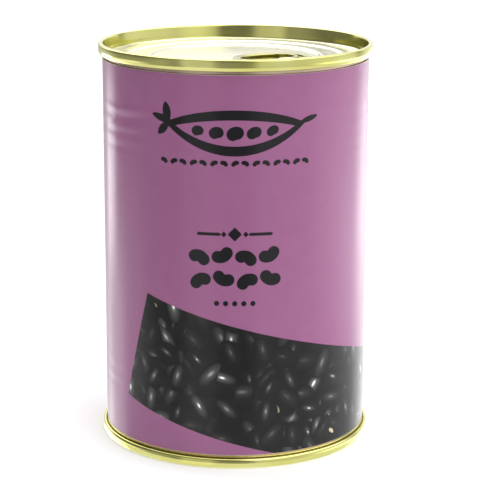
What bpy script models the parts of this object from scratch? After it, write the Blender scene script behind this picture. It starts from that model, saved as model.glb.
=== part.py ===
"""A shut food can with a paper label and a ring-pull lid, at its real size.

Metres, +Z up. The origin is the middle of the base, on the surface that the can stands on.
The camera's side of the can is -Y.
"""

import math

import bmesh
import bpy
from mathutils import Matrix, Vector

# Driving sizes of the can
CAN_HEIGHT = 0.1100
SEAM_RADIUS = 0.0377
LABEL_RADIUS = 0.0366
LABEL_THICKNESS = 0.00025
FIT_GAP = 0.0003
LABEL_FOOT = 0.0033
LABEL_HEAD = 0.1060

# The double seams that join the ends to the body
TOP_SEAM_FLAT = 0.0002
BASE_SEAM_FLAT = 0.0006
SEAM_CREST_ROUND = 0.00065
SEAM_LIP_ROUND = 0.0005
TOP_SEAM_HEIGHT = 0.0031
BASE_SEAM_HEIGHT = 0.0026
NECK_THICKNESS = 0.0007

# The sunk ends, with depths measured down from the crest of the seam
FIELD_DEPTH = 0.00385
INNER_BEAD_RADIUS = 0.0237
INNER_BEAD_HALF = 0.0012
INNER_BEAD_DEPTH = 0.00355
RECESS_RADIUS = 0.0269
RECESS_HALF = 0.0015
RECESS_DEPTH = 0.00415
OUTER_BEAD_RADIUS = 0.0304
OUTER_BEAD_HALF = 0.0010
OUTER_BEAD_DEPTH = 0.00345
RIM_BAND_RADIUS = 0.0323
RIM_BAND_DEPTH = 0.00360
GROOVE_RADIUS = 0.0335
GROOVE_DEPTH = 0.00445
WALL_FOOT_RADIUS = 0.0344
WALL_FOOT_DEPTH = 0.00400
SHELF_RADIUS = 0.0348
SHELF_RISE = 0.00025
WALL_BEND_RADIUS = 0.0359
WALL_BEND_RISE = 0.0005
END_PLUG = 0.0050

# The ring pull, along its own axis from the ring's end to the nose
TAB_ANGLE = math.radians(35)
TAB_LENGTH = 0.0240
TAB_RING_RADIUS = 0.0106
TAB_NOSE_RADIUS = 0.0064
TAB_NOSE_REACH = 0.0304
TAB_RIVET_FROM_NOSE = 0.0064
TAB_HEIGHT = 0.10755
TAB_TILT = math.radians(-1.5)
TAB_WEB = 0.0006
RIM_WIRE = 0.0006
HOLE_WIRE = 0.0005
HOLE_FROM_END = 0.0033
HOLE_HALF_LENGTH = 0.0052
HOLE_HALF_WIDTH = 0.0077
HOLE_SQUARENESS = 2.4

# The rivet that is drawn up out of the lid
RIVET_STEM = 0.0016
RIVET_HEAD = 0.0027
RIVET_HEAD_HEIGHT = 0.0005
RIVET_ROOT = 0.0006

TURN_STEPS = 64
RIVET_STEPS = 24
OUTLINE_POINTS = 52
HOLE_POINTS = 36
ARC_POINTS = 4
MERGE = 0.00001


def clear_scene():
    """Starts from an empty scene."""
    for thing in list(bpy.data.objects):
        bpy.data.objects.remove(thing)


def make_collection(name):
    """A collection of its own under the scene."""
    group = bpy.data.collections.new(name)
    bpy.context.scene.collection.children.link(group)
    return group


def make_material(name, color, roughness, metallic):
    """A plain Principled surface."""
    material = bpy.data.materials.new(name)
    material.use_nodes = True
    shader = material.node_tree.nodes["Principled BSDF"]
    shader.inputs["Base Color"].default_value = (*color, 1.0)
    shader.inputs["Roughness"].default_value = roughness
    shader.inputs["Metallic"].default_value = metallic
    return material


def add_object(name, mesh, group, material):
    """Puts a mesh in a collection as a named, smooth-shaded object."""
    thing = bpy.data.objects.new(name, mesh)
    group.objects.link(thing)
    mesh.materials.append(material)
    return thing


def arc(center_r, center_z, radius, start, end, count=ARC_POINTS):
    """Points on a round corner of a profile, from one angle to another, in degrees."""
    points = []
    for i in range(count + 1):
        angle = math.radians(start + (end - start) * i / count)
        points.append((center_r + radius * math.cos(angle), center_z + radius * math.sin(angle)))
    return points


def turned(name, profile, group, material, steps=TURN_STEPS):
    """A solid of revolution about Z from (radius, height) points that run down its outer side."""
    mesh = bpy.data.meshes.new(name)
    edges = [(i, i + 1) for i in range(len(profile) - 1)]
    if profile[0][0] > MERGE:
        edges.append((len(profile) - 1, 0))
    mesh.from_pydata([(r, 0.0, z) for r, z in profile], edges, [])
    thing = add_object(name, mesh, group, material)
    screw = thing.modifiers.new("Turn", "SCREW")
    screw.axis = "Z"
    screw.angle = math.tau
    screw.steps = steps
    screw.render_steps = steps
    screw.use_merge_vertices = True
    screw.merge_threshold = MERGE
    screw.use_smooth_shade = True
    return thing


def bead(middle, half, depth):
    """A low round rib on an end's panel, its crest between its two shoulders, as (radius, depth)."""
    shoulder = depth + half * 0.08
    return [(middle - half / 2, shoulder), (middle, depth), (middle + half / 2, shoulder)]


def end_face(seam_height):
    """The outer face of a can end, from its middle to the bend of its sunk wall, as (radius, depth)."""
    groove_step = (GROOVE_RADIUS - RIM_BAND_RADIUS) / 2
    points = [(0.0, FIELD_DEPTH), (INNER_BEAD_RADIUS - INNER_BEAD_HALF, FIELD_DEPTH)]
    points += bead(INNER_BEAD_RADIUS, INNER_BEAD_HALF, INNER_BEAD_DEPTH)
    points += [(RECESS_RADIUS - RECESS_HALF, RECESS_DEPTH), (RECESS_RADIUS + RECESS_HALF, RECESS_DEPTH)]
    points += bead(OUTER_BEAD_RADIUS, OUTER_BEAD_HALF, OUTER_BEAD_DEPTH)
    points += [
        (OUTER_BEAD_RADIUS + OUTER_BEAD_HALF, RIM_BAND_DEPTH),
        (RIM_BAND_RADIUS, RIM_BAND_DEPTH),
        (RIM_BAND_RADIUS + groove_step, (RIM_BAND_DEPTH + 2 * GROOVE_DEPTH) / 3),
        (GROOVE_RADIUS, GROOVE_DEPTH),
        (WALL_FOOT_RADIUS, WALL_FOOT_DEPTH),
        (SHELF_RADIUS, seam_height - SHELF_RISE),
        (WALL_BEND_RADIUS, seam_height - WALL_BEND_RISE),
    ]
    return points


def seam_face(height, flat):
    """The rolled seam from the top of the sunk wall over the crest to its lower lip, as (radius, depth)."""
    crest = SEAM_CREST_ROUND
    lip = SEAM_LIP_ROUND
    outer = SEAM_RADIUS - crest
    points = arc(outer - flat, crest, crest, 180, 270)
    points += arc(outer, crest, crest, 270, 360)
    points += arc(SEAM_RADIUS - lip, height - lip, lip, 0, 90)
    return points


def body_radius():
    """The outside of the steel body, under the label."""
    return LABEL_RADIUS - LABEL_THICKNESS - FIT_GAP


def end_profile(seam_height, seam_flat):
    """The whole closed outline of a can end, as (radius, depth below the crest)."""
    plug_radius = body_radius() - NECK_THICKNESS - FIT_GAP
    plug = [(plug_radius, seam_height), (plug_radius, END_PLUG), (0.0, END_PLUG)]
    return end_face(seam_height) + seam_face(seam_height, seam_flat) + plug


def make_body(group, material):
    """The filled steel cylinder, whose necks stand up into the two seams."""
    radius = body_radius()
    neck_radius = radius - NECK_THICKNESS
    head = CAN_HEIGHT - END_PLUG - FIT_GAP
    foot = END_PLUG + FIT_GAP
    neck_head = CAN_HEIGHT - TOP_SEAM_HEIGHT - FIT_GAP
    neck_foot = BASE_SEAM_HEIGHT + FIT_GAP
    profile = [(0, head), (neck_radius, head), (neck_radius, neck_head), (radius, neck_head)]
    profile += [(radius, neck_foot), (neck_radius, neck_foot), (neck_radius, foot), (0, foot)]
    return turned("can_body", profile, group, material)


def make_label(group, material):
    """The paper label, a thin sleeve round the body."""
    inner = LABEL_RADIUS - LABEL_THICKNESS
    profile = [
        (inner, LABEL_HEAD),
        (LABEL_RADIUS, LABEL_HEAD),
        (LABEL_RADIUS, LABEL_FOOT),
        (inner, LABEL_FOOT),
    ]
    return turned("label", profile, group, material)


def make_base(group, material):
    """The lower end, with its crest as the ring that the can stands on."""
    profile = end_profile(BASE_SEAM_HEIGHT, BASE_SEAM_FLAT)
    profile.reverse()
    return turned("base_end", profile, group, material)


def rivet_place():
    """The middle of the rivet on the lid, and the unit direction from the lid's middle to it."""
    direction = Vector((math.sin(TAB_ANGLE), -math.cos(TAB_ANGLE), 0.0))
    return direction * (TAB_NOSE_REACH - TAB_RIVET_FROM_NOSE), direction


def made_solid(thing):
    """Replaces an object by a mesh object with its modifiers applied and its doubles welded."""
    graph = bpy.context.evaluated_depsgraph_get()
    mesh = bpy.data.meshes.new_from_object(thing.evaluated_get(graph))
    welder = bmesh.new()
    welder.from_mesh(mesh)
    bmesh.ops.remove_doubles(welder, verts=welder.verts, dist=MERGE)
    bmesh.ops.recalc_face_normals(welder, faces=welder.faces)
    welder.to_mesh(mesh)
    welder.free()
    name = thing.name
    group = thing.users_collection[0]
    place = thing.matrix_world.copy()
    material = thing.data.materials[0]
    bpy.data.objects.remove(thing)
    mesh.materials.clear()
    solid = add_object(name, mesh, group, material)
    solid.matrix_world = place
    return solid


def join(thing, tools, operation):
    """Joins or cuts a solid with the others by one exact Boolean each, applied, and removes them."""
    for tool in tools:
        step = thing.modifiers.new(operation.title(), "BOOLEAN")
        step.operation = operation
        step.object = tool
        step.solver = "EXACT"
    bpy.context.view_layer.update()
    solid = made_solid(thing)
    for tool in tools:
        bpy.data.objects.remove(tool)
    return solid


def make_lid(group, material):
    """The upper end with its seam, and the rivet that is formed from its panel."""
    section = end_profile(TOP_SEAM_HEIGHT, TOP_SEAM_FLAT)
    outline = [(r, CAN_HEIGHT - depth) for r, depth in section]
    lid = turned("lid", outline, group, material)
    head_foot = TAB_HEIGHT + TAB_WEB / 2 + FIT_GAP
    head_top = head_foot + RIVET_HEAD_HEIGHT
    foot = CAN_HEIGHT - FIELD_DEPTH - RIVET_ROOT
    edge = RIVET_HEAD_HEIGHT / 4
    profile = [
        (0.0, head_top),
        (RIVET_HEAD - 4 * edge, head_top),
        (RIVET_HEAD - edge, head_top - edge),
        (RIVET_HEAD, head_foot + edge),
        (RIVET_HEAD - edge, head_foot),
        (RIVET_STEM, head_foot),
        (RIVET_STEM, foot),
        (0.0, foot),
    ]
    rivet = turned("rivet", profile, group, material, RIVET_STEPS)
    rivet.location = rivet_place()[0]
    return join(lid, [rivet], "UNION")


def tab_outline(inset, count=OUTLINE_POINTS):
    """The tab seen from above: a ring end and a nose, joined by their tangents, about the rivet."""
    ring = TAB_RING_RADIUS - inset
    nose = TAB_NOSE_RADIUS - inset
    ring_middle = TAB_RING_RADIUS + TAB_RIVET_FROM_NOSE - TAB_LENGTH
    nose_middle = TAB_RIVET_FROM_NOSE - TAB_NOSE_RADIUS
    tangent = math.acos((ring - nose) / (nose_middle - ring_middle))
    nose_count = count * 2 // 5
    points = []
    for i in range(nose_count):
        angle = -tangent + 2 * tangent * i / (nose_count - 1)
        points.append((nose_middle + nose * math.cos(angle), nose * math.sin(angle)))
    ring_count = count - nose_count
    for i in range(ring_count):
        angle = tangent + (math.tau - 2 * tangent) * i / (ring_count - 1)
        points.append((ring_middle + ring * math.cos(angle), ring * math.sin(angle)))
    return points


def hole_outline(grow, count=HOLE_POINTS):
    """The finger hole seen from above, a rounded D drawn as a superellipse, about the rivet."""
    middle = TAB_RIVET_FROM_NOSE - TAB_LENGTH + HOLE_FROM_END + HOLE_HALF_LENGTH
    power = 2 / HOLE_SQUARENESS
    points = []
    for i in range(count):
        angle = math.tau * i / count
        across = math.sin(angle)
        along = math.cos(angle)
        points.append(
            (
                middle + (HOLE_HALF_LENGTH + grow) * math.copysign(abs(along) ** power, along),
                (HOLE_HALF_WIDTH + grow) * math.copysign(abs(across) ** power, across),
            )
        )
    return points


def add_spline(curve, points):
    """A closed run of straight pieces through flat points."""
    spline = curve.splines.new("POLY")
    spline.points.add(len(points) - 1)
    for place, (x, y) in zip(spline.points, points):
        place.co = (x, y, 0.0, 1.0)
    spline.use_cyclic_u = True


def curve_solid(name, outlines, group, material, thickness=0.0, wire=0.0):
    """A flat plate with holes when it has a thickness, or a round wire along one outline."""
    curve = bpy.data.curves.new(name, "CURVE")
    curve.dimensions = "2D" if thickness else "3D"
    if thickness:
        curve.fill_mode = "BOTH"
        curve.extrude = thickness / 2
    else:
        curve.bevel_depth = wire
        curve.bevel_resolution = 2
    for outline in outlines:
        add_spline(curve, outline)
    curve.materials.append(material)
    thing = bpy.data.objects.new(name, curve)
    group.objects.link(thing)
    bpy.context.view_layer.update()
    return made_solid(thing)


def make_tab(group, cutters, material):
    """The ring pull: a thin web with rolled edges, a finger hole and a hole for the rivet."""
    web = curve_solid(
        "ring_pull",
        [tab_outline(RIM_WIRE), hole_outline(HOLE_WIRE)],
        group,
        material,
        thickness=TAB_WEB,
    )
    rim = curve_solid("rim", [tab_outline(RIM_WIRE)], group, material, wire=RIM_WIRE)
    edge = curve_solid("edge", [hole_outline(HOLE_WIRE)], group, material, wire=HOLE_WIRE)
    tab = join(web, [rim, edge], "UNION")
    bore_radius = RIVET_STEM + FIT_GAP
    reach = RIM_WIRE * 2
    bore_profile = [(0, reach), (bore_radius, reach), (bore_radius, -reach), (0, -reach)]
    bore = turned("rivet_bore", bore_profile, cutters, material, RIVET_STEPS)
    tab = join(tab, [bore], "DIFFERENCE")
    place, direction = rivet_place()
    turn = math.atan2(direction.y, direction.x)
    tab.matrix_world = (
        Matrix.Translation(place + Vector((0.0, 0.0, TAB_HEIGHT)))
        @ Matrix.Rotation(turn, 4, "Z")
        @ Matrix.Rotation(TAB_TILT, 4, "Y")
    )
    return tab


def make_can():
    """The whole can, one object for each of its pieces."""
    group = make_collection("food_can")
    cutters = make_collection("cutters")
    gold = make_material("gold_lacquer", (0.66, 0.61, 0.30), 0.22, 1.0)
    steel = make_material("body_tinplate", (0.70, 0.64, 0.36), 0.28, 1.0)
    paper = make_material("label_paper", (0.36, 0.15, 0.30), 0.38, 0.0)
    make_body(group, steel)
    make_label(group, paper)
    make_base(group, gold)
    make_lid(group, gold)
    make_tab(group, cutters, gold)


clear_scene()
make_can()
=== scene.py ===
import math

import bpy
import numpy as np
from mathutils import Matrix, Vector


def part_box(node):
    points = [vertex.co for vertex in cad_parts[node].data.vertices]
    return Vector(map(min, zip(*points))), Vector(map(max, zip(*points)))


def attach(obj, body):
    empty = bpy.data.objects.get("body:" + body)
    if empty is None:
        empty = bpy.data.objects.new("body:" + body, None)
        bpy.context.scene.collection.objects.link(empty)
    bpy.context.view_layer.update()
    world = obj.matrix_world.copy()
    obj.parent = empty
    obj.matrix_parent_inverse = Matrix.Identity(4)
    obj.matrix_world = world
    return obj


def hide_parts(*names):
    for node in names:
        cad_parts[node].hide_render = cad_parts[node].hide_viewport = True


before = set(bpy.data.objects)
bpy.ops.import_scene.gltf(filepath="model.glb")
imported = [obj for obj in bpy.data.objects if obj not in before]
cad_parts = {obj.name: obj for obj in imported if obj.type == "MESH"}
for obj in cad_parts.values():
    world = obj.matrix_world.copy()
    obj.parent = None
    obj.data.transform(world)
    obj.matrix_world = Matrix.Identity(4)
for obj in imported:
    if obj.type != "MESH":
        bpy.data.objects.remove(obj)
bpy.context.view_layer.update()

# A shut food can with a paper label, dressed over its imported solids. Sizes in the dictionaries are in
# millimetres and angles in degrees. The front of the can is -Y, and its foot stands on z = 0.
mm = 0.001
print("scene: frame loaded")


# Shared tools for meshes and shaders

def boxOf(nodeName):
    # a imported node's lowest and highest corner, in millimetres
    low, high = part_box(nodeName)
    return np.array(low) / mm, np.array(high) / mm


def smoothRamp(value, start, stop):
    # 3t^2 - 2t^3, where t runs from 0 at start to 1 at stop and stays there
    t = np.clip((value - start) / (stop - start), 0, 1)
    return t * t * (3 - 2 * t)


def rounded(points, times):
    # corner cutting: each pass puts two points on every stretch, at a quarter and at three quarters of it
    line = np.array(points, float)
    for _ in range(times):
        near = 0.75 * line[:-1] + 0.25 * line[1:]
        far = 0.25 * line[:-1] + 0.75 * line[1:]
        cut = np.stack([near, far], axis=1).reshape(-1, line.shape[1])
        line = np.vstack([line[:1], cut, line[-1:]])
    return line


def waves(a, b, longest, count, seed):
    # the mean of count sine waves over the plane (a, b), with seeded headings, phases and wavelengths that
    # run from longest down to a third of it
    draw = np.random.default_rng(seed)
    total = np.zeros(np.broadcast(a, b).shape)
    for _ in range(count):
        heading, phase = draw.uniform(0, math.tau, 2)
        length = longest * draw.uniform(0.33, 1)
        total += np.sin(math.tau * (a * math.cos(heading) + b * math.sin(heading)) / length + phase)
    return total / count


def ringMesh(name, points, closeRows=False, startCap=None, endCap=None, bakePlace=None):
    # Skins a grid of points, rows x columns x 3 in millimetres, whose columns wrap round. Quad (i, j) joins
    # points (i, j), (i, j+1), (i+1, j+1) and (i+1, j). A cap is one point that closes the first or last row
    # with a fan. bakePlace holds the map's columns + 1 and rows + 1 places, for a surface closed both ways.
    rows, columns = points.shape[:2]
    index = np.arange(rows * columns).reshape(rows, columns)
    beside = np.roll(index, -1, axis=1)
    if closeRows:
        above, aboveBeside = np.roll(index, -1, axis=0), np.roll(beside, -1, axis=0)
        base, baseBeside = index, beside
    else:
        above, aboveBeside = index[1:], beside[1:]
        base, baseBeside = index[:-1], beside[:-1]
    quads = np.stack([base, baseBeside, aboveBeside, above], axis=-1).reshape(-1, 4)
    spots = [points.reshape(-1, 3)]
    fans = []
    if startCap is not None:
        middle = np.full(columns, rows * columns)
        fans.append(np.stack([middle, beside[0], index[0]], axis=-1))
        spots.append(np.array([startCap], float))
    if endCap is not None:
        middle = np.full(columns, rows * columns + len(spots) - 1)
        fans.append(np.stack([middle, index[-1], beside[-1]], axis=-1))
        spots.append(np.array([endCap], float))
    fans = np.concatenate(fans) if fans else np.zeros((0, 3), int)
    spots = np.vstack(spots) * mm
    corners = np.concatenate([quads.ravel(), fans.ravel()]).astype(np.int32)
    starts = np.concatenate([np.arange(len(quads)) * 4, len(quads) * 4 + np.arange(len(fans)) * 3])
    mesh = bpy.data.meshes.new(name)
    mesh.vertices.add(len(spots))
    mesh.vertices.foreach_set("co", spots.astype(np.float32).ravel())
    mesh.loops.add(len(corners))
    mesh.loops.foreach_set("vertex_index", corners)
    mesh.polygons.add(len(starts))
    mesh.polygons.foreach_set("loop_start", starts.astype(np.int32))
    mesh.update(calc_edges=True)
    mesh.validate()
    mesh.shade_smooth()
    if bakePlace is not None:
        across, up = bakePlace
        row, column = np.meshgrid(np.arange(rows), np.arange(columns), indexing="ij")
        u = np.stack([across[column], across[column + 1], across[column + 1], across[column]], axis=-1)
        v = np.stack([up[row], up[row], up[row + 1], up[row + 1]], axis=-1)
        layer = mesh.uv_layers.new(name="OFBake")
        layer.uv.foreach_set("vector", np.stack([u, v], axis=-1).astype(np.float32).ravel())
    return mesh


def addPiece(name, mesh, material, slotName, *nodeNames):
    # puts a finished mesh in the scene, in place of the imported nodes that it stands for
    piece = bpy.data.objects.new(name, mesh)
    bpy.context.scene.collection.objects.link(piece)
    mesh.materials.append(material)
    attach(piece, "root")
    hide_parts(*nodeNames)
    print("scene:", name, len(mesh.vertices), "points")
    return piece


def turnedGrid(line, angles):
    # carries a profile of (radius, height) points round the can's axis
    radius, height = line[:, 0, None], line[:, 1, None]
    return np.stack([
        radius * np.sin(angles), -radius * np.cos(angles), np.broadcast_to(height, (len(line), len(angles)))
    ], axis=-1)


class Wire:
    # a shader socket that adds its own math nodes, so that a pattern reads as its formula
    def __init__(self, tree, socket):
        self.tree = tree
        self.socket = socket

    def math(self, operation, *others):
        made = self.tree.nodes.new("ShaderNodeMath")
        made.operation = operation
        plug(self.tree, made.inputs[0], self)
        for place, other in enumerate(others):
            plug(self.tree, made.inputs[place + 1], other)
        return Wire(self.tree, made.outputs[0])

    def __add__(self, other):
        return self.math("ADD", other)

    def __sub__(self, other):
        return self.math("SUBTRACT", other)

    def __mul__(self, other):
        return self.math("MULTIPLY", other)

    def ramp(self, start, stop, low=0.0, high=1.0):
        # a smooth step from low to high, while the socket runs from start to stop
        made = addNode(self.tree, "ShaderNodeMapRange", interpolation_type="SMOOTHSTEP")
        places = {"Value": self, "From Min": start, "From Max": stop, "To Min": low, "To Max": high}
        for key, value in places.items():
            plug(self.tree, made.inputs[key], value)
        return Wire(self.tree, made.outputs["Result"])


def plug(tree, place, value):
    # links a wire to a socket, or sets a plain value on it
    if isinstance(value, Wire):
        tree.links.new(value.socket, place)
    else:
        place.default_value = value


def addNode(tree, kind, sockets=None, **settings):
    # a shader node with its settings made and its sockets plugged, by name
    made = tree.nodes.new(kind)
    for key, value in settings.items():
        setattr(made, key, value)
    for key, value in (sockets or {}).items():
        plug(tree, made.inputs[key], value)
    return made


def vectorMath(tree, operation, *values):
    # the operation taken on x, y and z at once
    made = addNode(tree, "ShaderNodeVectorMath", operation=operation)
    for place, value in enumerate(values):
        plug(tree, made.inputs[place], value)
    return Wire(tree, made.outputs["Vector"])


def parts(tree, vector):
    # a vector's x, y and z as three wires
    made = addNode(tree, "ShaderNodeSeparateXYZ", {"Vector": vector})
    return [Wire(tree, socket) for socket in made.outputs]


def mixColors(tree, amount, first, second):
    # first * (1 - amount) + second * amount
    made = addNode(tree, "ShaderNodeMix", data_type="RGBA")
    plug(tree, made.inputs["Factor"], amount)
    plug(tree, made.inputs[6], first)  # 6, 7 and 2 are the node's sockets for colours
    plug(tree, made.inputs[7], second)
    return Wire(tree, made.outputs[2])


def noise(tree, place, scale, detail=3.0, stretch=(1, 1, 1)):
    # noise of about 0 to 1, scale features a metre, pressed together along an axis by its stretch
    pressed = vectorMath(tree, "MULTIPLY", place, stretch)
    made = addNode(tree, "ShaderNodeTexNoise", {"Vector": pressed, "Scale": scale, "Detail": detail})
    return Wire(tree, made.outputs["Fac"])


def newMaterial(name):
    # a plain material, with the place on the piece that its patterns read
    material = bpy.data.materials.new(name)
    material.use_nodes = True
    tree = material.node_tree
    shader = tree.nodes["Principled BSDF"]
    objectPlace = Wire(tree, addNode(tree, "ShaderNodeTexCoord").outputs["Object"])
    return material, tree, shader, objectPlace


def addBump(tree, shader, height, distance, strength):
    # bends the shading as if the surface rose by height times distance
    made = addNode(tree, "ShaderNodeBump", {"Height": height, "Distance": distance, "Strength": strength})
    tree.links.new(made.outputs["Normal"], shader.inputs["Normal"])


def opaque(color):
    return (*color, 1.0)


# Gold-lacquered tinplate

goldLook = {
    "paleGold": (0.75, 0.73, 0.28),
    "deepGold": (0.67, 0.65, 0.20),
    "roughness": (0.11, 0.19),
    "panelHighlightTint": (0.74, 0.72, 0.575),   # painted highlight: the sunk panel is coloured paler than the seams, standing in for its washed-out sheen; it is also duller
    "panelRoughness": 0.14,             # added there
    "panelPlace": (35.5, 106.48),       # its radius and its highest point
    "panelFade": (0.4, 0.04),           # how far it fades beyond each
    "glossyPlace": (8.55, -12.2, 7.2),  # middle and radius of the sheet under the ring, which stays glossy and keeps the plain gold, without the painted highlight
    "glossyFade": 1.5,
    "coatWeight": 0.15,
    "coatRoughness": 0.06,
    "cloudPerMetre": 55,
    "wipesPerMetre": 140,
    "grainPerMetre": 90,
    "grainStretch": (1, 28, 28),
    "bumpHeight": 0.02,
    "bumpStrength": 0.10,
}


def makeGold(name, look):
    # Metal under a clear lacquer: cloudy tint, rolling grain along X, and faint wipe marks in the roughness.
    # The panel, painted paler as a painted highlight and made rougher, is the part within a radius sqrt(x^2 +
    # y^2) and under a height, less a disc under the ring.
    material, tree, shader, place = newMaterial(name)
    cloud = noise(tree, place, look["cloudPerMetre"], 2.0)
    grain = noise(tree, place, look["grainPerMetre"], 4.0, look["grainStretch"])
    wipes = noise(tree, place, look["wipesPerMetre"], 5.0, (1, 6, 1))
    tint = mixColors(tree, cloud.ramp(0.3, 0.7), opaque(look["deepGold"]), opaque(look["paleGold"]))
    x, y, z = parts(tree, place)
    reach, highest = look["panelPlace"]
    fadeOut, fadeUp = look["panelFade"]
    panel = (x * x + y * y).math("SQRT").ramp((reach + fadeOut) * mm, reach * mm)
    panel = panel * z.ramp((highest + fadeUp) * mm, highest * mm)
    ringX, ringY, ringReach = look["glossyPlace"]
    fromRing = ((x - ringX * mm).math("POWER", 2.0) + (y - ringY * mm).math("POWER", 2.0)).math("SQRT")
    panel = panel * fromRing.ramp(ringReach * mm, (ringReach + look["glossyFade"]) * mm)
    # painted highlight: the panel is tinted paler than the rest of the metal
    tint = mixColors(tree, panel, tint, opaque(look["panelHighlightTint"]))
    tree.links.new(tint.socket, shader.inputs["Base Color"])
    low, high = look["roughness"]
    rough = (grain * 0.5 + wipes * 0.5).ramp(0.35, 0.68, low, high) + panel * look["panelRoughness"]
    tree.links.new(rough.socket, shader.inputs["Roughness"])
    shader.inputs["Metallic"].default_value = 1.0
    shader.inputs["Coat Weight"].default_value = look["coatWeight"]
    shader.inputs["Coat Roughness"].default_value = look["coatRoughness"]
    addBump(tree, shader, grain + wipes * 0.5, look["bumpHeight"] * mm, look["bumpStrength"])
    return material


# painted shade: the ring pull is coloured a deeper gold than the lid, for the shade it sits in; its panel
# place lies below it, so that it gets none of the panel's painted pale highlight
ringShadedLook = dict(goldLook, paleGold=(0.48, 0.45, 0.17), deepGold=(0.40, 0.37, 0.12), panelPlace=(35.5, 90.0))


bodyLook = {
    "tan": (0.62, 0.49, 0.35),
    "shadowTan": (0.50, 0.38, 0.26),
    "roughness": (0.20, 0.32),
    "grainPerMetre": 60,
    "grainStretch": (1, 1, 40),
    "bumpHeight": 0.03,
    "bumpStrength": 0.15,
}


def makeTinplate(look):
    # bare tinplate with a thin warm lacquer, ground along the can's girth
    material, tree, shader, place = newMaterial("body tinplate")
    grain = noise(tree, place, look["grainPerMetre"], 4.0, look["grainStretch"])
    tint = mixColors(tree, grain.ramp(0.3, 0.7), opaque(look["shadowTan"]), opaque(look["tan"]))
    tree.links.new(tint.socket, shader.inputs["Base Color"])
    tree.links.new(grain.ramp(0.3, 0.7, *look["roughness"]).socket, shader.inputs["Roughness"])
    shader.inputs["Metallic"].default_value = 1.0
    addBump(tree, shader, grain, look["bumpHeight"] * mm, look["bumpStrength"])
    return material


gold = makeGold("gold lacquer", goldLook)
# painted shade: the ring pull's darker gold
ringShadedGold = makeGold("ring lacquer painted dark", ringShadedLook)
tinplate = makeTinplate(bodyLook)


# The can ends: a ribbed panel, a groove, a sunk wall and the rolled double seam

endShape = {
    "fieldDepth": 4.18,            # the flat middle, under the seam's crest
    "innerBead": (23.7, 3.66),     # radius and depth of each rib's crest
    "recess": (25.6, 28.2, 3.98),  # from, to and depth of the sunk ring between the ribs
    "outerBead": (30.4, 3.56),
    "bandDepth": 3.66,
    "scoreRadius": 31.9,           # the tear line
    "scoreHalf": 0.16,
    "scoreDepth": 0.07,
    "groove": (33.5, 4.45),
    "wallFoot": (34.45, 4.35),
    # the sunk wall: radius, and height over the seam's lower lip
    "wall": ((34.98, -1.0), (35.45, -0.82), (35.76, -0.52), (35.86, -0.15), (35.98, 0.8), (36.2, 2.1)),
    "crestWidth": 1.38,
    # each seam's height, and over which heights its lower lip turns in
    "topSeam": (3.1, (1.4, 0.65)),
    "baseSeam": (2.6, (1.0, 0.45)),
    # shallow dents in the panel: height, longest wave, number of waves, seed, and how far out they reach
    "dents": (0.012, 30, 9, 5, 32),
    "sides": 288,
}


def panelLine(shape, scored):
    # the panel's section from its middle out to the groove, as (radius, depth)
    innerRadius, innerDepth = shape["innerBead"]
    recessStart, recessStop, recessDepth = shape["recess"]
    outerRadius, outerDepth = shape["outerBead"]
    field = shape["fieldDepth"]
    band = shape["bandDepth"]
    line = rounded([
        (22.2, field), (22.8, field), (23.1, innerDepth), (innerRadius + 0.6, innerDepth),
        (recessStart - 0.5, recessDepth), (recessStart + 0.6, recessDepth), (recessStop - 0.6, recessDepth),
        (recessStop + 0.6, recessDepth), (outerRadius - 0.75, outerDepth), (outerRadius + 0.45, outerDepth),
        (outerRadius + 0.9, band), (31.5, band),
    ], 3)
    middle = np.stack([np.linspace(0.6, 22.0, 48), np.full(48, field)], axis=-1)
    score, half = shape["scoreRadius"], shape["scoreHalf"]
    cut = shape["scoreDepth"] * scored
    tear = np.array([
        (score - half, band), (score - half / 2, band + cut * 0.3), (score, band + cut),
        (score + half / 2, band + cut * 0.3), (score + half, band),
    ])
    return np.vstack([middle, line, tear])


def endLine(shape, seamRadius, seamHeight, lipRound, scored):
    # the whole section of an end, from its middle over the seam and back inside to the axis. lipRound says
    # how far above its edge the seam's face starts to turn in, and how far above it has turned by 0.06 mm.
    crest = shape["crestWidth"]
    band = shape["bandDepth"]
    lip = seamRadius - 0.75
    wall = [(r, seamHeight - rise) for r, rise in shape["wall"]]
    grooveRadius, grooveDepth = shape["groove"]
    outside = rounded([
        (32.3, band), (32.75, band), (33.0, grooveDepth), (grooveRadius + 0.45, grooveDepth),
        shape["wallFoot"], *wall, (seamRadius - crest, 0.24), (seamRadius - crest + 0.12, 0.03),
        (seamRadius - 0.55, 0.0), (seamRadius - 0.2, 0.08), (seamRadius - 0.03, 0.4),
        (seamRadius, seamHeight * 0.5), (seamRadius, seamHeight - lipRound[0]),
        (seamRadius - 0.06, seamHeight - lipRound[1]),
        (seamRadius - 0.3, seamHeight - 0.05), (lip, seamHeight), (lip - 0.25, seamHeight - 0.18),
    ], 3)
    hidden = np.array([
        (36.35, seamHeight - 0.3), (35.9, seamHeight + 0.1), (35.88, 5.0), (20.0, 5.0), (0.6, 5.0),
    ])
    return np.vstack([panelLine(shape, scored), outside, hidden])


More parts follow.
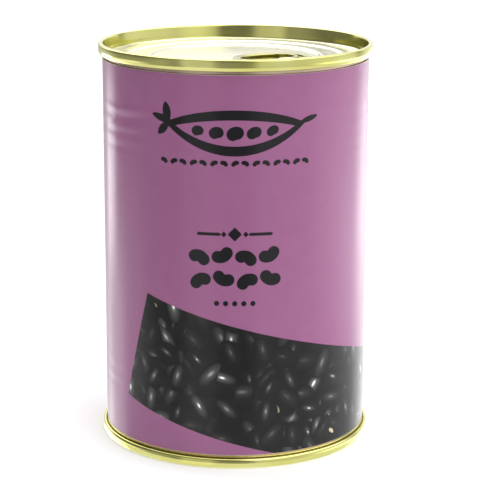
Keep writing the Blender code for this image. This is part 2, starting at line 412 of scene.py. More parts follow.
tabShape = {
    "angle": 35.0,           # where the ring points, from the front towards +X
    "rivetRadius": 24.0,     # from the can's axis to the rivet
    "height": 106.95,
    "tilt": -1.5,
    "length": 24.0,
    "ringRadius": 10.6,
    "noseRadius": 6.4,
    "noseReach": 6.4,        # from the rivet to the nose
    "holeFromEnd": 3.3,
    "holeHalf": (5.2, 7.7),  # along and across
    "holeSquareness": 2.4,
    "rimWire": 0.60,         # half the width of the outer rolled edge
    "holeWire": 0.50,        # and of the one round the finger hole
    "rollHeight": 0.72,      # half the height of both
    "rollPower": 0.35,       # 1 for a round roll, less for a squarer one
    "webTop": 0.05,
    "webFoot": -0.25,
    "webBlend": 0.35,        # how far from the rolls the web is level
    "slot": (4.0, 0.28, 0.24),  # the curved groove round the rivet: radius, width and depth
    "slotEnds": (1.9, 2.2),  # angles from its middle over which it fades, in radians
    "coined": (2.9, 3.3, 0.06),  # the pressed ring at the rivet: its edge's radii and its depth
    "headings": 360,         # points round it, over each roll and over the web
    "rollSteps": 19,
    "webSteps": 44,
}


def alongTab(x, y):
    # a place seen from above, in the ring pull's own axes: along from the rivet to the nose, and across
    turn = math.radians(tabShape["angle"])
    along = x * math.sin(turn) - y * math.cos(turn) - tabShape["rivetRadius"]
    across = x * math.cos(turn) + y * math.sin(turn)
    return along, across


padShape = {
    "padRadius": 4.6,
    "padHeight": 0.16,
    "pipPlace": (-5.0, 12.6),  # along the ring pull from its rivet, and to each side
    "pipStretch": 3.0,
    "pipHeight": 0.14,
    "fieldRadius": 22.5,       # nothing is raised outside it
}


def lidRelief(x, y):
    # Height added to the lid's panel: a raised pad round the rivet and a pip at each side of the ring. Each
    # is its height times a smooth step down, over the distance from its middle.
    along, across = alongTab(x, y)
    pad = np.hypot(along, across) / padShape["padRadius"]
    pipAlong, pipAcross = padShape["pipPlace"]
    pips = np.hypot((along - pipAlong) / padShape["pipStretch"], np.abs(across) - pipAcross)
    raised = padShape["padHeight"] * (1 - smoothRamp(pad, 0.75, 1.0))
    return raised + padShape["pipHeight"] * (1 - smoothRamp(pips, 0.4, 1.0))


def makeEnd(name, shape, nodeName, upwards):
    # one section turned about the axis: depth counts down from the top of the lid, or up from the base's foot
    low, high = boxOf(nodeName)
    seamHeight, lipRound = shape["topSeam"] if upwards else shape["baseSeam"]
    line = endLine(shape, high[0], seamHeight, lipRound, scored=upwards)
    angles = np.linspace(0, math.tau, shape["sides"], endpoint=False)
    points = turnedGrid(line, angles)
    dentHeight, longest, count, seed, reach = shape["dents"]
    fromAxis = line[:, None, 0]
    dents = dentHeight * waves(points[..., 0], points[..., 1], longest, count, seed) * (fromAxis < reach)
    if upwards:
        relief = lidRelief(points[..., 0], points[..., 1]) * (fromAxis < padShape["fieldRadius"])
        points[..., 2] = high[2] - points[..., 2] + dents + relief
    else:
        points[..., 2] += low[2] + dents
    top = points[0, :, 2].mean()
    foot = points[-1, :, 2].mean()
    if upwards:
        mesh = ringMesh(name, points[:, ::-1], startCap=(0, 0, top), endCap=(0, 0, foot))
    else:
        mesh = ringMesh(name, points, startCap=(0, 0, top), endCap=(0, 0, foot))
    return addPiece(name, mesh, gold, "gold_lacquer", nodeName)


lid = makeEnd("pressedLid", endShape, "lid", True)
baseEnd = makeEnd("pressedBase", endShape, "base_end", False)


# The steel body: only its two bare strips show, above and below the label

bodyShape = {
    "tuck": 0.22,           # how far the tube goes up into each seam, so that no gap shows
    "innerRadius": 35.95,
    "edgeRound": 0.03,
    "edgeStraight": 1.6,
    "fillingRadius": 35.93,
    "fillingSunk": 2.2,     # how far the filling lies below the tube's edges
    "sides": 256,
}


def makeBody(shape):
    # a tube's section, turned: in over its rounded edges and down its outside, closed by a flat filling
    low, high = boxOf("can_body")
    radius = high[0]
    head, foot = high[2] + shape["tuck"], low[2] - shape["tuck"]
    inner, edge, straight = shape["innerRadius"], shape["edgeRound"], shape["edgeStraight"]
    wall = rounded([
        (inner, head), (radius - edge, head), (radius, head - edge), (radius, head - straight),
        (radius, foot + straight), (radius, foot + edge), (radius - edge, foot), (inner, foot),
    ], 2)
    top, bottom = head - shape["fillingSunk"], foot + shape["fillingSunk"]
    line = np.vstack([[(shape["fillingRadius"], top)], wall, [(shape["fillingRadius"], bottom)]])
    angles = np.linspace(0, math.tau, shape["sides"], endpoint=False)
    points = turnedGrid(line, angles)
    caps = {"startCap": (0, 0, top), "endCap": (0, 0, bottom)}
    mesh = ringMesh("bodyTube", points[:, ::-1], **caps)
    return addPiece("bodyTube", mesh, tinplate, "body_tinplate", "can_body")


body = makeBody(bodyShape)


# The ring pull and its rivet

def ringOutline(shape, headings):
    # distance from the middle of the finger hole to the tab's edge: the hull of a large and a small circle
    ring, nose = shape["ringRadius"], shape["noseRadius"]
    ringMiddle = ring + shape["noseReach"] - shape["length"]
    noseMiddle = shape["noseReach"] - nose
    tangent = math.acos((ring - nose) / (noseMiddle - ringMiddle))
    onNose = np.linspace(-tangent, tangent, 400)
    onRing = np.linspace(tangent, math.tau - tangent, 900)
    along = np.concatenate([noseMiddle + nose * np.cos(onNose), ringMiddle + ring * np.cos(onRing)])
    across = np.concatenate([nose * np.sin(onNose), ring * np.sin(onRing)])
    along = np.append(along, along[0]) - holeMiddle(shape)
    across = np.append(across, across[0])
    step = np.linspace(0, 1, 12, endpoint=False)
    along = np.concatenate([along[:-1, None] + (along[1:] - along[:-1])[:, None] * step]).ravel()
    across = np.concatenate([across[:-1, None] + (across[1:] - across[:-1])[:, None] * step]).ravel()
    heading = np.arctan2(across, along) % math.tau
    order = np.argsort(heading)
    return np.interp(headings, heading[order], np.hypot(along, across)[order], period=math.tau)


def holeMiddle(shape):
    # along from the rivet: the tab's far end, then the stretch before the hole and half the hole
    return shape["noseReach"] - shape["length"] + shape["holeFromEnd"] + shape["holeHalf"][0]


def squared(wave, shape):
    # flattens a circle's sine or cosine, so that a rolled edge gets a more upright face
    return np.sign(wave) * np.abs(wave) ** shape["rollPower"]


def makeRingPull(shape):
    # A closed section carried round the finger hole. It runs up the hole's rolled edge, over the thin web,
    # round the outer rolled edge and back under the web. Each heading's web is stretched between the two.
    headings = np.linspace(0, math.tau, shape["headings"], endpoint=False)
    power = shape["holeSquareness"]
    halfAlong, halfAcross = shape["holeHalf"]
    hole = (np.abs(np.cos(headings) / halfAlong) ** power + np.abs(np.sin(headings) / halfAcross) ** power)
    hole = hole ** (-1 / power)
    edge = ringOutline(shape, headings)
    wire, rim = shape["holeWire"], shape["rimWire"]
    innerTurn = np.radians(np.linspace(-60, -300, shape["rollSteps"]))[:, None]
    outerTurn = np.radians(np.linspace(120, -120, shape["rollSteps"]))[:, None]
    inner = (hole + wire)[None] + wire * squared(np.cos(innerTurn), shape)
    outer = (edge - rim)[None] + rim * squared(np.cos(outerTurn), shape)
    tall = shape["rollHeight"]
    innerHeight = np.broadcast_to(tall * squared(np.sin(innerTurn), shape), inner.shape)
    outerHeight = np.broadcast_to(tall * squared(np.sin(outerTurn), shape), outer.shape)
    share = np.linspace(0, 1, shape["webSteps"])[1:-1, None]
    top = inner[-1] + (outer[0] - inner[-1]) * share
    webTop, blend = shape["webTop"], shape["webBlend"]
    dip = smoothRamp(top - inner[-1], 0, blend) * smoothRamp(outer[0] - top, 0, blend)
    edgeHeight = innerHeight[-1] + (outerHeight[0] - innerHeight[-1]) * share
    topHeight = edgeHeight + (webTop - edgeHeight) * dip
    share = share[::3]
    under = outer[-1] + (inner[0] - outer[-1]) * share
    footHeight = outerHeight[-1] + (innerHeight[0] - outerHeight[-1]) * share
    dip = smoothRamp(outer[-1] - under, 0, blend) * smoothRamp(under - inner[0], 0, blend)
    underHeight = footHeight + (shape["webFoot"] - footHeight) * dip
    reach = np.vstack([inner, top, outer, under])
    height = np.vstack([innerHeight, topHeight, outerHeight, underHeight])
    along = holeMiddle(shape) + reach * np.cos(headings)
    across = reach * np.sin(headings)
    fromRivet = np.hypot(along, across)
    aroundRivet = np.abs(np.arctan2(across, -along))
    slotRadius, slotWidth, slotDepth = shape["slot"]
    slot = np.exp(-(((fromRivet - slotRadius) / slotWidth) ** 2))
    slot = slot * (1 - smoothRamp(aroundRivet, *shape["slotEnds"]))
    coinStart, coinStop, coinDepth = shape["coined"]
    coined = 1 - smoothRamp(fromRivet, coinStart, coinStop)
    isTop = np.zeros_like(height)
    isTop[len(inner):len(inner) + len(top)] = 1
    height = height - isTop * (slotDepth * slot + coinDepth * coined)
    tilt = math.radians(shape["tilt"])
    raised = shape["height"] + height * math.cos(tilt) - along * math.sin(tilt)
    flat = along * math.cos(tilt) + height * math.sin(tilt) + shape["rivetRadius"]
    turn = math.radians(shape["angle"])
    x = flat * math.sin(turn) + across * math.cos(turn)
    y = -flat * math.cos(turn) + across * math.sin(turn)
    points = np.stack([x, y, raised], axis=-1)
    mesh = ringMesh("ringPull", points, closeRows=True)
    return addPiece("ringPull", mesh, ringShadedGold, "gold_lacquer", "ring_pull")


rivetShape = {
    "rise": 1.12,  # of its head over the middle of the ring pull
    # the head's section from its middle: radius, and depth under its top
    "head": (
        (0.25, 0.16), (0.9, 0.16), (1.2, 0.02), (2.1, 0.0),
        (2.7, 0.18), (2.72, 0.48), (2.3, 0.56), (1.6, 0.56),
    ),
    "stem": ((1.6, 106.3), (1.9, 105.8), (2.6, 105.65)),  # radius and height
    "foot": 105.6,
    "sides": 96,
}


def makeRivet(shape, tab):
    # a button head on a stem: its section turned about the rivet's own axis
    top = tab["height"] + shape["rise"]
    head = [(radius, top - depth) for radius, depth in shape["head"]]
    line = rounded([*head, *shape["stem"]], 3)
    points = turnedGrid(line, np.linspace(0, math.tau, shape["sides"], endpoint=False))
    turn = math.radians(tab["angle"])
    middle = tab["rivetRadius"] * np.array([math.sin(turn), -math.cos(turn), 0])
    points = points + middle
    caps = {"startCap": middle + (0, 0, head[0][1]), "endCap": middle + (0, 0, shape["foot"])}
    mesh = ringMesh("rivet", points[:, ::-1], **caps)
    return addPiece("rivet", mesh, gold, "gold_lacquer", "lid")


ringPull = makeRingPull(tabShape)
rivet = makeRivet(rivetShape, tabShape)


# The paper label: its form

labelShape = {
    "inset": 0.05,          # from the solid's radius, so that nothing stands out of it
    "thickness": 0.2,
    "overlapWidth": 9.0,    # the glued lap at the back
    "overlapEase": 2.5,
    "overlapStep": 0.12,
    "beadPitch": 4.3,       # the body's ribs, just felt through the paper
    "beadGroups": ((14.0, 27.0), (81.0, 97.0)),
    "beadHeight": 0.028,
    "beadFlank": (0.2, -44, 14),  # their least strength, and where and how widely they are strongest
    "slack": 0.030,
    "slackWaves": (46, 14, 21),   # longest wave, number of waves and seed
    # creases pressed in by handling: where they cross s, their height there, rise over s, and depth
    "creases": (
        (-34, 94.6, 0.10, 0.055), (-33, 92.2, 0.16, -0.06), (-35, 89.6, 0.06, 0.05), (-36, 22.4, 0.05, 0.05),
    ),
    "creaseReach": 9.0,
    "creaseWidth": 0.95,
    "edgeWave": 0.05,       # the cut edges wander up and down
    "edgeWaves": (60, 6),
    "edgeSeeds": (3, 4),    # of the upper and the lower edge
    "fineStep": 0.36,
    "coarseStep": 0.70,
    "rowStep": 0.50,
    "fineHalf": 45.0,
}


def beadRipple(s, z, shape):
    # a sine of the bead pitch within each group's heights, strongest on the left flank
    least, middle, width = shape["beadFlank"]
    flank = least + (1 - least) * np.exp(-(((s - middle) / width) ** 2))
    total = 0
    for foot, head in shape["beadGroups"]:
        window = smoothRamp(z, foot, foot + 3) * smoothRamp(-z, -head, -head + 3)
        total = total + np.sin(math.tau * (z - foot) / shape["beadPitch"]) * window
    return shape["beadHeight"] * flank * total


def pressedCreases(s, z, shape):
    # each crease is a Gaussian across its slanting line, which fades out along it
    total = 0
    for middle, height, rise, depth in shape["creases"]:
        apart = (z - height - rise * (s - middle)) / shape["creaseWidth"]
        total = total + depth * np.exp(-apart * apart - ((s - middle) / shape["creaseReach"]) ** 2)
    return total


def turnInto(s, z, middle, angle):
    # a place on the label in a printed shape's own axes
    turn = math.radians(angle)
    ds, dz = s - middle[0], z - middle[1]
    return ds * math.cos(turn) + dz * math.sin(turn), dz * math.cos(turn) - ds * math.sin(turn)


def leafEdge(s, z, foot, angle, length, width):
    # signed distance to a leaf: the lens where two equal circles overlap, from its foot to its tip
    turn = math.radians(angle)
    middle = (foot[0] + length / 2 * math.cos(turn), foot[1] + length / 2 * math.sin(turn))
    a, b = turnInto(s, z, middle, angle)
    a, b = np.abs(a), np.abs(b)
    half = length / 2
    radius = (half * half + width * width / 4) / width
    offset = radius - width / 2
    beyond = (a - half) * offset > b * half
    return np.where(beyond, np.hypot(a - half, b), np.hypot(a, b + offset) - radius)


def beanEdge(s, z, middle, angle, bend, halfAngle, halfWidth):
    # signed distance to a kidney shape: a thick arc of radius bend that spans halfAngle to each side
    a, b = turnInto(s, z, middle, angle)
    limit = math.radians(halfAngle)
    turn = np.clip(np.arctan2(a, b + bend), -limit, limit)
    return np.hypot(a - bend * np.sin(turn), b + bend - bend * np.cos(turn)) - halfWidth


def barEdge(s, z, middle, halfLength, halfWidth):
    # signed distance to a bar with round ends
    a = np.maximum(np.abs(s - middle[0]) - (halfLength - halfWidth), 0)
    return np.hypot(a, z - middle[1]) - halfWidth


def diamondEdge(s, z, middle, half):
    # signed distance to the square |ds| + |dz| = half, which stands on its corner
    return (np.abs(s - middle[0]) + np.abs(z - middle[1]) - half) * math.sqrt(0.5)


ornament = {
    "podHeight": 91.8,
    "podLength": 38.0,
    "podWidth": 12.0,
    "podSag": 2.2,
    "podOpening": (32.0, 6.8),
    "podBeans": 5,
    "podPitch": 4.9,
    "podBean": (18, 1.1, 36, 1.66),  # angle, bend, half angle and half width of the middle one
    "podTaper": 0.14,                # how much smaller each next one is
    # leaves at the pod's ends: which end, foot from it, angle, length and width
    "podLeaves": (
        (-1, 2.0, 162, 6.6, 1.9), (-1, 1.0, 100, 5.6, 2.4), (-1, 1.0, 226, 4.6, 2.2), (1, 1.8, 16, 6.2, 1.5),
    ),
    "smallRow": 83.2,
    "smallBeans": 15,
    "smallPitch": 2.75,
    "smallBean": (25, 0.9, 38, 0.56),  # angle to either side, bend, half angle and half width
    "diamondRow": 64.3,
    "diamondHalf": 1.9,
    "sideDiamond": (2.9, 0.8),    # how far out, and half its width
    "sideBar": (6.9, 3.2, 0.42),  # how far out, half its length and half its width
    "beanRows": (58.3, 52.0),
    "beansInRow": 4,
    "beanPitch": 6.2,
    "beanAngles": (-20, 24),
    "largeBean": (2.0, 42, 1.6),  # bend, half angle and half width
    "dotRow": 45.6,
    "dots": 5,
    "dotPitch": 2.4,
    "dotRadius": 0.72,
}


def rowPlaces(count, pitch):
    # places along s, evenly spaced and centred on the front
    return [(i - (count - 1) / 2) * pitch for i in range(count)]


def podEdge(s, z, look):
    # an open bean pod: a lens bent along a parabola, with a smaller lens cut out of it and beans inside
    half = look["podLength"] / 2
    level = z - look["podHeight"] - look["podSag"] * ((s / half) ** 2 - 0.4)
    pod = leafEdge(s, level, (-half, 0), 0, look["podLength"], look["podWidth"])
    openLength, openWidth = look["podOpening"]
    opening = leafEdge(s, level, (-openLength / 2, 0), 0, openLength, openWidth)
    shapes = [np.maximum(pod, -opening)]
    angle, bend, halfAngle, halfWidth = look["podBean"]
    for place in rowPlaces(look["podBeans"], look["podPitch"]):
        size = 1 - look["podTaper"] * abs(place) / look["podPitch"]
        shapes.append(beanEdge(s, level, (place, 0.1), angle, bend * size, halfAngle, halfWidth * size))
    endHeight = look["podHeight"] + look["podSag"] * 0.6  # the parabola's height at the pod's ends
    for side, inset, angle, length, width in look["podLeaves"]:
        shapes.append(leafEdge(s, z, (side * (half - inset), endHeight), angle, length, width))
    return np.minimum.reduce(shapes)


def inkShapes(s, z, look):
    # the least of the distances to every shape printed in dark ink, in millimetres, below 0 inside
    shapes = [podEdge(s, z, look)]
    angle, *form = look["smallBean"]
    for i, place in enumerate(rowPlaces(look["smallBeans"], look["smallPitch"])):
        shapes.append(beanEdge(s, z, (place, look["smallRow"]), angle if i % 2 else -angle, *form))
    row = look["diamondRow"]
    shapes.append(diamondEdge(s, z, (0, row), look["diamondHalf"]))
    diamondOut, diamondHalf = look["sideDiamond"]
    barOut, barLong, barWide = look["sideBar"]
    for side in (-1, 1):
        shapes.append(barEdge(s, z, (side * barOut, row), barLong, barWide))
        shapes.append(diamondEdge(s, z, (side * diamondOut, row), diamondHalf))
    for lineNumber, row in enumerate(look["beanRows"]):
        for i, place in enumerate(rowPlaces(look["beansInRow"], look["beanPitch"])):
            angle = look["beanAngles"][(i + lineNumber) % 2] + 180 * (i % 2)
            shapes.append(beanEdge(s, z, (place, row), angle, *look["largeBean"]))
    for place in rowPlaces(look["dots"], look["dotPitch"]):
        shapes.append(np.hypot(s - place, z - look["dotRow"]) - look["dotRadius"])
    return np.minimum.reduce(shapes)


def makeLabelMesh(shape, printed):
    # The sleeve's radius is R + lap + ribs + creases + slack, where s runs round it from the front in
    # millimetres and z is height. The skin goes up the outside and down the inside, so that the paper has
    # its thickness. On the bake map the outside takes all but a narrow strip along the foot.
    low, high = boxOf("label")
    radius = high[0]
    half = math.pi * radius
    fine = shape["fineHalf"]
    s = np.concatenate([
        np.linspace(-half, -fine, round((half - fine) / shape["coarseStep"]), endpoint=False),
        np.linspace(-fine, fine, round(2 * fine / shape["fineStep"]), endpoint=False),
        np.linspace(fine, half - 0.02, round((half - fine) / shape["coarseStep"])),
    ])
    rowCount = round((high[2] - low[2]) / shape["rowStep"])
    share = np.concatenate([[0, 0.0003], np.linspace(0, 1, rowCount)[1:-1], [0.9997, 1]])[:, None]
    z = low[2] + (high[2] - low[2]) * share
    lapStart = half - shape["overlapWidth"]
    lap = shape["overlapStep"] * smoothRamp(s, lapStart, lapStart + shape["overlapEase"])
    slack = shape["slack"] * waves(s, z, *shape["slackWaves"])
    r = radius - shape["inset"] + lap + beadRipple(s, z, shape) + pressedCreases(s, z, shape) + slack
    wave = shape["edgeWave"]
    headSeed, footSeed = shape["edgeSeeds"]
    outsideZ = (
        z + wave * share ** 20 * (waves(s, 0, *shape["edgeWaves"], headSeed) - 0.8)
        + wave * (1 - share) ** 20 * (waves(s, 0, *shape["edgeWaves"], footSeed) + 0.8)
    )
    insideR = np.stack([r[-1], r[0]]) - shape["thickness"]
    insideZ = np.stack([outsideZ[-1], outsideZ[0]])
    allR = np.vstack([r, insideR])
    allZ = np.vstack([outsideZ, insideZ])
    angle = s / radius
    points = np.stack([allR * np.sin(angle), -allR * np.cos(angle), allZ], axis=-1)
    rows = len(allR)
    across = np.append(s, half)
    across = 0.002 + 0.996 * (across + half) / (2 * half)
    up = np.concatenate([0.02 + 0.978 * share[:, 0], [0.999, 0.001, 0.018]])
    mesh = ringMesh("paperLabel", points, closeRows=True, bakePlace=(across, up))
    place = np.zeros((rows, len(s), 3), np.float32)
    place[..., 0] = s
    place[..., 1] = allZ
    place[-2:, :, 2] = 1
    mesh.attributes.new("labelPlace", "FLOAT_VECTOR", "POINT").data.foreach_set("vector", place.ravel())
    edge = inkShapes(place[..., 0], place[..., 1], printed).astype(np.float32)
    mesh.attributes.new("inkEdge", "FLOAT", "POINT").data.foreach_set("value", edge.ravel())
    return mesh


# The paper label: its print

labelLook = {
    "mauve": (0.312, 0.112, 0.240),
    "mauveWorn": (0.322, 0.117, 0.248),
    "ink": (0.006, 0.005, 0.007),
    "paperEdge": (0.50, 0.39, 0.36),
    "margin": (3.46, 105.84),       # bare paper shows below and above these heights
    "fuzz": 0.07,                   # half the width over which the dark panel's edges fade
    "panelCorner": (-25.3, 46.2),   # the dark panel's upper left corner
    "panelTurn": -15.6,
    "panelHeight": 31.4,
    "panelGround": (0.006, 0.006, 0.006),
    "beanHalf": (4.3, 2.8),         # half the length and width of a printed bean
    "beanCell": 8.2,
    "cellRandomness": 0.75,
    "beanLayers": 4,
    "layerShift": (31.7, 17.3, 0),  # how far each layer's net lies from the one before
    "beanTurn": (2.5, -0.05),       # range and start of the headings, in radians
    "beanBend": (0.35, 0.12),       # of its parabola, and how far that moves it back
    "beanBody": 0.009,
    "gleamHalf": (2.7, 1.05),
    "gleamShift": (-0.3, 0.5, 0),
    "gleamLight": (0.03, 0.42),
    "gleamSize": (0.35, 1.0),
    "haloLight": 0.22,
    "sparkLight": 0.6,
    "sparkChance": (0.80, 0.84),    # beans whose random value is over this have one
    "fleck": (0.62, 0.55, 0.36),    # the pale eye that a few beans show
    "fleckPlace": 0.72,             # its share of half the bean's width
    "fleckChance": (0.07, 0.05),    # beans whose random value is under this have one
    "shadowStrength": 0.6,
    "roughness": (0.17, 0.23),
    "specular": 0.40,
    "inkFade": 0.06,
    "mottlePerMetre": 260,
    "fibrePerMetre": 2600,
    "bumpHeight": 0.006,
    "bumpStrength": 0.08,
}


def beanLayer(tree, place, look, number):
    # One bean in each cell of a loose net of points. A bean is the ellipse u^2 + w^2 < 1 in its own turned
    # axes, bent along a parabola. Its gleam is a soft ellipse along it, moved towards the upper left. The
    # cell's random colour sets its heading, and the gleam's size and strength.
    shifted = vectorMath(tree, "ADD", place, tuple(number * step for step in look["layerShift"]))
    sockets = {"Vector": shifted, "Scale": 1 / look["beanCell"], "Randomness": look["cellRandomness"]}
    net = addNode(tree, "ShaderNodeTexVoronoi", sockets, voronoi_dimensions="2D")
    spot = Wire(tree, net.outputs["Position"])
    chance = addNode(tree, "ShaderNodeSeparateColor", {"Color": Wire(tree, net.outputs["Color"])})
    first, second, third = [Wire(tree, socket) for socket in chance.outputs]
    turnRange, turnStart = look["beanTurn"]
    heading = first * turnRange + turnStart
    halfLong, halfWide = look["beanHalf"]
    bend, back = look["beanBend"]

    def turned(vector):
        sockets = {"Vector": vector, "Angle": heading}
        made = addNode(tree, "ShaderNodeVectorRotate", sockets, rotation_type="Z_AXIS")
        return parts(tree, Wire(tree, made.outputs["Vector"]))[:2]

    offset = vectorMath(tree, "SUBTRACT", shifted, spot)
    along, across = turned(offset)
    u = along * (1 / halfLong)
    w = across * (1 / halfWide) + (u * u) * bend - back
    reach = u * u + w * w
    dome = (reach * -1 + 1).math("MAXIMUM", 0.0).math("SQRT")
    size = second.ramp(0.0, 1.0, *look["gleamSize"])
    gleamAlong, gleamAcross = turned(vectorMath(tree, "SUBTRACT", offset, look["gleamShift"]))
    gleamReach = (
        (gleamAlong * (1 / look["gleamHalf"][0])).math("POWER", 2.0)
        + (gleamAcross * (1 / look["gleamHalf"][1])).math("POWER", 2.0)
    ).math("SQRT").math("DIVIDE", size)
    gleam = gleamReach.ramp(1.0, 0.0)
    halo = gleamReach.ramp(2.2, 0.3)
    faint, bright = look["gleamLight"]
    strength = third * third * (bright - faint) + faint
    spark = gleamReach.ramp(0.42, 0.22) * third.ramp(*look["sparkChance"]) * look["sparkLight"]
    shine = (gleam * gleam + halo * look["haloLight"]) * strength
    tone = shine + (dome * 0.6 + 0.4) * look["beanBody"] + spark
    eyeAcross = across + halfWide * look["fleckPlace"]
    fleck = (along * along * 0.30 + eyeAcross * eyeAcross).math("SQRT").ramp(0.75, 0.50)
    fleck = fleck * third.ramp(*look["fleckChance"])
    mask = reach.ramp(1.0, 0.90)
    shadow = reach.ramp(1.5, 0.9) * look["shadowStrength"]
    return mask, shadow, tone, fleck


def makePaper(look):
    # mauve, then the dark panel with its beans, then the ink, then bare paper at the cut edges, each laid
    # over the one before
    material, tree, shader, objectPlace = newMaterial("label paper")
    attribute = addNode(tree, "ShaderNodeAttribute", attribute_name="labelPlace")
    place = Wire(tree, attribute.outputs["Vector"])
    s, z, cut = parts(tree, place)
    ink = Wire(tree, addNode(tree, "ShaderNodeAttribute", attribute_name="inkEdge").outputs["Fac"])

    # the tilted panel: along its top edge and down from it
    turn = math.radians(look["panelTurn"])
    ds = s - look["panelCorner"][0]
    dz = z - look["panelCorner"][1]
    along = ds * math.cos(turn) + dz * math.sin(turn)
    down = ds * math.sin(turn) - dz * math.cos(turn)
    fuzz = look["fuzz"]
    panel = (
        along.ramp(-fuzz, fuzz) * down.ramp(-fuzz, fuzz)
        * down.ramp(look["panelHeight"] + fuzz, look["panelHeight"] - fuzz)
    )

    # the printed beans, painted layer over layer
    flat = addNode(tree, "ShaderNodeCombineXYZ", {"X": s, "Y": z})
    flat = Wire(tree, flat.outputs["Vector"])
    printed = opaque(look["panelGround"])
    for number in range(look["beanLayers"]):
        mask, shadow, tone, fleck = beanLayer(tree, flat, look, number + 1)
        bean = mixColors(tree, tone, (0, 0, 0, 1), (0.96, 1, 0.95, 1))
        bean = mixColors(tree, fleck, bean, opaque(look["fleck"]))
        printed = mixColors(tree, shadow, printed, (0.003, 0.003, 0.003, 1))
        printed = mixColors(tree, mask, printed, bean)

    mottle = noise(tree, objectPlace, look["mottlePerMetre"], 4.0)
    fibre = noise(tree, objectPlace, look["fibrePerMetre"], 3.0, (1, 1, 0.6))
    ground = mixColors(tree, mottle.ramp(0.3, 0.7), opaque(look["mauve"]), opaque(look["mauveWorn"]))
    color = mixColors(tree, panel, ground, printed)
    fade = look["inkFade"]
    color = mixColors(tree, ink.ramp(fade, -fade), color, opaque(look["ink"]))
    foot, head = look["margin"]
    bare = cut.math("MAXIMUM", z.ramp(foot + fade, foot - fade) + z.ramp(head - fade, head + fade))
    color = mixColors(tree, bare, color, opaque(look["paperEdge"]))
    tree.links.new(color.socket, shader.inputs["Base Color"])
    rough = (fibre * 0.5 + mottle * 0.5).ramp(0.35, 0.65, *look["roughness"])
    tree.links.new(rough.socket, shader.inputs["Roughness"])
    shader.inputs["Specular IOR Level"].default_value = look["specular"]
    addBump(tree, shader, fibre + mottle, look["bumpHeight"] * mm, look["bumpStrength"])
    return material


paper = makePaper(labelLook)
label = addPiece("paperLabel", makeLabelMesh(labelShape, ornament), paper, "label_paper", "label")


# Floor, light and camera

floorLook = {
    "nearRadius": 240.0,    # the part of the floor that light bounces from
    "farReach": 3000.0,     # the rest only shows to the camera
    "white": (0.98, 0.98, 0.98),
    "shade": (0.95, 0.95, 0.95),
}


def makeFloor(look):
    # a plain pale floor: a disc round the can, and a wide sheet just under it
    material, tree, shader, place = newMaterial("floor")
    tone = mixColors(tree, noise(tree, place, 40, 2.0), opaque(look["shade"]), opaque(look["white"]))
    tree.links.new(tone.socket, shader.inputs["Base Color"])
    shader.inputs["Roughness"].default_value = 0.9
    shader.inputs["Specular IOR Level"].default_value = 0.1
    angles = np.linspace(0, math.tau, 96, endpoint=False)
    sheets = (("floorNear", look["nearRadius"], 0.0), ("floorFar", look["farReach"], -0.05))
    for name, reach, height in sheets:
        line = np.array([(reach, height), (1.0, height)])
        mesh = ringMesh(name, turnedGrid(line, angles), endCap=(0, 0, height))
        mesh.materials.append(material)
        floor = bpy.data.objects.new(name, mesh)
        bpy.context.scene.collection.objects.link(floor)
        floor.visible_glossy = False
    floor.visible_diffuse = False
    floor.visible_shadow = False


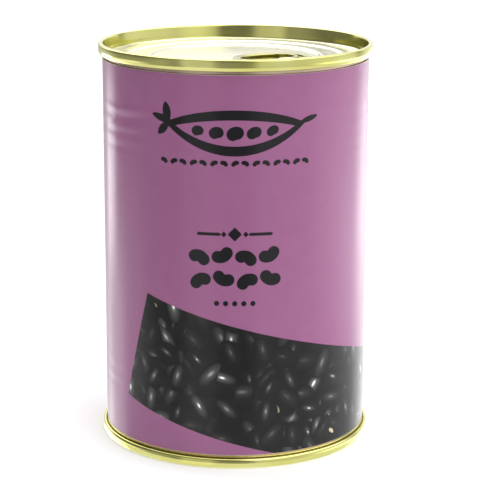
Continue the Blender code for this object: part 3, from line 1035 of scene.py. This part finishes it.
studio = {
    "ground": 0.18,      # light from everywhere
    # each soft box: azimuth from the camera, half width and its softness, lowest and highest elevation and
    # their softness, and strength
    "boxes": (
        (180, 52, 3, 0, 30, 3, 0.88),         # white wall behind the can
        (180, 60, 14, 30, 52, 14, 0.72),      # its glow overhead
        (180, 40, 10, -90, -6, 10, 0.80),     # its foot
        (-137, 9.5, 4, -14, -8.8, 1.4, 3.30),  # bright edges of the wall, mirrored by the can's flanks
        (-133, 20, 8, -34, -15, 6, 1.60),
        (-127, 12, 12, -12, -4, 3, 0.36),
        (144, 12, 10, -14, -8.8, 1.2, 1.10),
        (146, 22, 14, -34, -2, 14, 1.00),
        (-155, 35, 12, 24, 60, 12, 1.80),     # light over the floor at the back left
        (0, 180, 0, -90, -19.5, 1.5, 0.85),   # white table in front
        (-108, 24, 14, -18, -12.5, 1.5, 1.20),
        (118, 22, 12, -18, -12.5, 1.5, 0.80),
        (-31, 14, 5, -24, 24, 5, 0.46),       # narrow box on the left
        (-56, 16, 14, -16, 24, 14, 0.16),
        (68, 51, 6, -19, 24, 4, 0.60),        # large box on the right
        (90, 24, 14, -16, 10, 14, 0.16),
        (110, 36, 14, -16, -9.2, 1.5, 1.10),
        (38, 10, 6, 0, 24, 6, 0.20),
        (-84, 26, 8, -18, -3, 8, 0.22),
        (0, 20, 8, -17, 2, 8, 0.16),
        (68, 56, 12, 24, 62, 12, 2.25),
    ),
    "top": (44, 60, 1.5),  # elevations over which the overhead light fades in, and its strength
}


def makeLight(look):
    # A dome of light. Its brightness in a direction is the ground level, plus for each soft box its strength
    # times a smooth window in azimuth and one in elevation, plus the overhead light.
    world = bpy.data.worlds.new("studio")
    bpy.context.scene.world = world
    world.use_nodes = True
    tree = world.node_tree
    direction = Wire(tree, addNode(tree, "ShaderNodeTexCoord").outputs["Generated"])
    x, y, z = parts(tree, direction)
    azimuth = x.math("ARCTAN2", y * -1) * (180 / math.pi)
    elevation = z.math("ARCSINE") * (180 / math.pi)
    total = None
    for middle, halfWidth, soft, low, high, softUp, strength in look["boxes"]:
        apart = ((azimuth - middle) * (math.pi / 180)).math("COSINE").math("ARCCOSINE") * (180 / math.pi)
        window = apart.ramp(halfWidth + soft + 0.01, halfWidth - soft)
        rise = elevation.ramp(low - softUp, low + softUp) * elevation.ramp(high + softUp, high - softUp)
        light = window * rise * strength
        total = light if total is None else total + light
    start, stop, strength = look["top"]
    total = total + elevation.ramp(start, stop) * strength + look["ground"]
    background = tree.nodes["Background"]
    tree.links.new(total.socket, background.inputs["Strength"])
    background.inputs["Color"].default_value = (1, 1, 1, 1)


photoCamera = {
    "place": (1.89, -491.83, 174.24),
    "tiltDown": 13.797,
    "roll": -0.15,
    "heading": 0.055,
    "focalLength": 134.25,
    "sensorWidth": 36.0,
}


def makeCamera(look):
    # where the photo was taken from, looking along +Y and down
    camera = bpy.data.cameras.new("photoCamera")
    camera.sensor_width = look["sensorWidth"]
    camera.lens = look["focalLength"]
    camera.clip_start = 0.01
    holder = bpy.data.objects.new("photoCamera", camera)
    bpy.context.scene.collection.objects.link(holder)
    holder.location = np.array(look["place"]) * mm
    holder.rotation_euler = [math.radians(v) for v in (90 - look["tiltDown"], look["roll"], look["heading"])]
    bpy.context.scene.camera = holder


makeFloor(floorLook)
makeLight(studio)
makeCamera(photoCamera)
bpy.context.scene.view_settings.view_transform = "Standard"
print("scene: floor, light and camera set")
